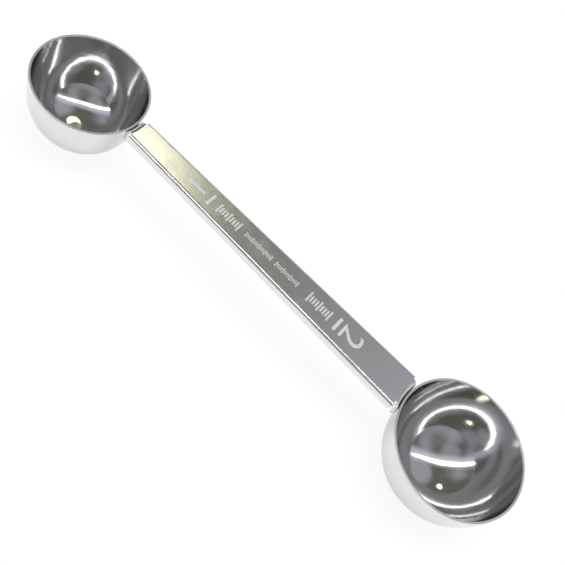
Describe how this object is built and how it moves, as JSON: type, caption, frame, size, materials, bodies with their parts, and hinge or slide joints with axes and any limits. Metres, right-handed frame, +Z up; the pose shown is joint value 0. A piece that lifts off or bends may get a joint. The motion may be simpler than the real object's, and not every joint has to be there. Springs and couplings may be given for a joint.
{
  "type": "measuring spoon",
  "caption": "Double-ended steel measuring spoon: a smaller and a larger deep round cup joined rim to rim by a tapered channel handle, for scooping and levelling dry or liquid ingredients.",
  "frame": {"origin": "under the middle of the spoon, on the surface that the deeper cup stands on", "axes": "+X along the handle from the small cup to the large cup, +Z up out of the cups' mouths"},
  "size_m": [0.2098, 0.0474, 0.0275],
  "materials": {
    "cup_steel": "mirror polished, with fine turning marks",
    "handle_steel": "polished, with fine marks along its length"
  },
  "bodies": {
    "root": {"small_cup": "cup_steel", "large_cup": "cup_steel", "handle": "handle_steel"}
  },
  "joints": []
}
